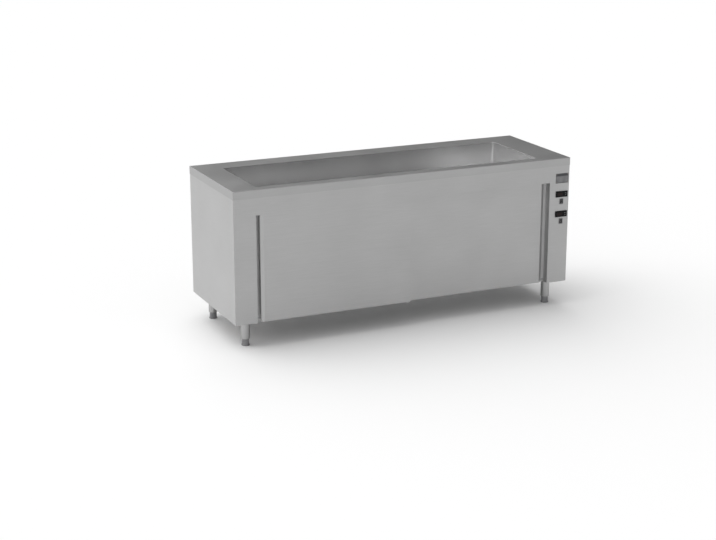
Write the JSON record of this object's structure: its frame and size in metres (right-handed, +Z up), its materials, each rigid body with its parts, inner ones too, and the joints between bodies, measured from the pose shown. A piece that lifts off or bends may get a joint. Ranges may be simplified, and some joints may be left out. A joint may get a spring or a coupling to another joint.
{
  "type": "bain marie counter",
  "caption": "Stainless steel bain marie counter: open heated well over a hot cupboard with sliding doors, control column and round levelling legs.",
  "frame": {"origin": "on the floor under the middle of the worktop", "axes": "+X to the right seen from the front, +Y from front to back, +Z up"},
  "size_m": [2.07, 0.7038, 0.885],
  "materials": {
    "worktop_steel": "satin",
    "well_steel": "satin",
    "stainless_panel": "satin",
    "back_steel": "satin",
    "inner_steel": "satin",
    "galvanised_steel": "zinc coated",
    "leg_steel": "brushed",
    "heater_sheath": "heat-tinted",
    "mineral_wool": "matte",
    "copper_pipe": "dull",
    "valve_brass": "nickel plated",
    "lever_paint": "dipped vinyl",
    "roller_nylon": "moulded",
    "stop_rubber": "moulded",
    "foot_plastic": "moulded",
    "bezel_plastic": "moulded",
    "display_glass": "polished",
    "key_rubber": "moulded",
    "switch_plastic": "moulded",
    "rocker_plastic": "moulded",
    "plate_metal": "satin anodised",
    "electrical_plastic": "moulded"
  },
  "bodies": {
    "cabinet": {"worktop": "worktop_steel", "well_tank": "well_steel", "well_heater": "heater_sheath", "heater_clamps": "galvanised_steel", "well_insulation": "mineral_wool", "cupboard_ceiling": "inner_steel", "drain_fitting": "well_steel", "drain_pipe": "copper_pipe", "valve_body": "valve_brass", "base_pan": "back_steel", "left_side_panel": "stainless_panel", "right_side_panel": "stainless_panel", "back_panel": "back_steel", "panel_screws": "galvanised_steel", "front_fascia": "stainless_panel", "left_column": "stainless_panel", "control_column": "stainless_panel", "door_surround": "inner_steel", "side_liners": "inner_steel", "back_liner": "inner_steel", "back_insulation": "mineral_wool", "cupboard_shelf": "inner_steel", "shelf_supports": "inner_steel", "cupboard_heater": "heater_sheath", "heater_guard": "inner_steel", "door_tracks": "galvanised_steel", "track_stops": "stop_rubber", "bottom_guide": "roller_nylon", "leg_plates": "galvanised_steel", "leg_tubes": "leg_steel", "well_thermostat": "bezel_plastic", "cupboard_thermostat": "bezel_plastic", "display_windows": "display_glass", "rocker_frames": "switch_plastic", "blank_plate": "plate_metal", "contactors": "electrical_plastic", "cable_gland": "electrical_plastic"},
    "left_door": {"left_door_skin": "stainless_panel", "left_door_liner": "inner_steel", "left_door_hangers": "galvanised_steel"},
    "left_door_left_rollers": {"left_door_left_rollers": "roller_nylon"},
    "left_door_right_rollers": {"left_door_right_rollers": "roller_nylon"},
    "right_door": {"right_door_skin": "stainless_panel", "right_door_liner": "inner_steel", "right_door_hangers": "galvanised_steel"},
    "right_door_left_rollers": {"right_door_left_rollers": "roller_nylon"},
    "right_door_right_rollers": {"right_door_right_rollers": "roller_nylon"},
    "standpipe": {"overflow_standpipe": "well_steel"},
    "drain_lever": {"valve_ball": "valve_brass", "valve_lever": "lever_paint"},
    "front_left_foot": {"front_left_foot": "foot_plastic"},
    "front_right_foot": {"front_right_foot": "foot_plastic"},
    "back_left_foot": {"back_left_foot": "foot_plastic"},
    "back_right_foot": {"back_right_foot": "foot_plastic"},
    "well_up_key": {"well_up_key": "key_rubber"},
    "well_down_key": {"well_down_key": "key_rubber"},
    "well_rocker": {"well_rocker": "rocker_plastic"},
    "cupboard_up_key": {"cupboard_up_key": "key_rubber"},
    "cupboard_down_key": {"cupboard_down_key": "key_rubber"},
    "cupboard_rocker": {"cupboard_rocker": "rocker_plastic"}
  },
  "joints": [
    {"name": "left_door_slide", "type": "slide", "parent": "cabinet", "child": "left_door", "axis": [1, 0, 0], "range_m": [0, 0.863]},
    {"name": "left_door_left_rollers_spin", "type": "hinge", "parent": "left_door", "child": "left_door_left_rollers", "pos_m": [-0.821, -0.338, 0.7698], "axis": [0, 1, 0], "range_deg": [0, 6182]},
    {"name": "left_door_right_rollers_spin", "type": "hinge", "parent": "left_door", "child": "left_door_right_rollers", "pos_m": [-0.042, -0.338, 0.7698], "axis": [0, 1, 0], "range_deg": [0, 6182]},
    {"name": "right_door_slide", "type": "slide", "parent": "cabinet", "child": "right_door", "axis": [-1, 0, 0], "range_m": [0, 0.863]},
    {"name": "right_door_left_rollers_spin", "type": "hinge", "parent": "right_door", "child": "right_door_left_rollers", "pos_m": [0.042, -0.3185, 0.7698], "axis": [0, -1, 0], "range_deg": [0, 6182]},
    {"name": "right_door_right_rollers_spin", "type": "hinge", "parent": "right_door", "child": "right_door_right_rollers", "pos_m": [0.821, -0.3185, 0.7698], "axis": [0, -1, 0], "range_deg": [0, 6182]},
    {"name": "standpipe_lift", "type": "slide", "parent": "cabinet", "child": "standpipe", "axis": [0, 0, 1], "range_m": [0, 0.15]},
    {"name": "drain_lever_turn", "type": "hinge", "parent": "cabinet", "child": "drain_lever", "pos_m": [-0.9022, -0.033, 0.115], "axis": [0, 0, 1], "range_deg": [0, 90]},
    {"name": "front_left_foot_screw", "type": "slide", "parent": "cabinet", "child": "front_left_foot", "axis": [0, 0, -1], "range_m": [0, 0.035]},
    {"name": "front_right_foot_screw", "type": "slide", "parent": "cabinet", "child": "front_right_foot", "axis": [0, 0, -1], "range_m": [0, 0.035]},
    {"name": "back_left_foot_screw", "type": "slide", "parent": "cabinet", "child": "back_left_foot", "axis": [0, 0, -1], "range_m": [0, 0.035]},
    {"name": "back_right_foot_screw", "type": "slide", "parent": "cabinet", "child": "back_right_foot", "axis": [0, 0, -1], "range_m": [0, 0.035]},
    {"name": "well_up_key_press", "type": "slide", "parent": "cabinet", "child": "well_up_key", "axis": [0, 1, 0], "range_m": [0, 0.0007], "stiffness_N_per_m": 600},
    {"name": "well_down_key_press", "type": "slide", "parent": "cabinet", "child": "well_down_key", "axis": [0, 1, 0], "range_m": [0, 0.0007], "stiffness_N_per_m": 600},
    {"name": "well_rocker_tip", "type": "hinge", "parent": "cabinet", "child": "well_rocker", "pos_m": [0.985, -0.3485, 0.63], "axis": [1, 0, 0], "range_deg": [0, 16]},
    {"name": "cupboard_up_key_press", "type": "slide", "parent": "cabinet", "child": "cupboard_up_key", "axis": [0, 1, 0], "range_m": [0, 0.0007], "stiffness_N_per_m": 600},
    {"name": "cupboard_down_key_press", "type": "slide", "parent": "cabinet", "child": "cupboard_down_key", "axis": [0, 1, 0], "range_m": [0, 0.0007], "stiffness_N_per_m": 600},
    {"name": "cupboard_rocker_tip", "type": "hinge", "parent": "cabinet", "child": "cupboard_rocker", "pos_m": [0.985, -0.3485, 0.512], "axis": [1, 0, 0], "range_deg": [0, 16]}
  ],
  "couplings": [
    {"joint": "left_door_left_rollers_spin", "follows": "left_door_slide", "rad_per_m": 125},
    {"joint": "left_door_right_rollers_spin", "follows": "left_door_slide", "rad_per_m": 125},
    {"joint": "right_door_left_rollers_spin", "follows": "right_door_slide", "rad_per_m": 125},
    {"joint": "right_door_right_rollers_spin", "follows": "right_door_slide", "rad_per_m": 125}
  ]
}
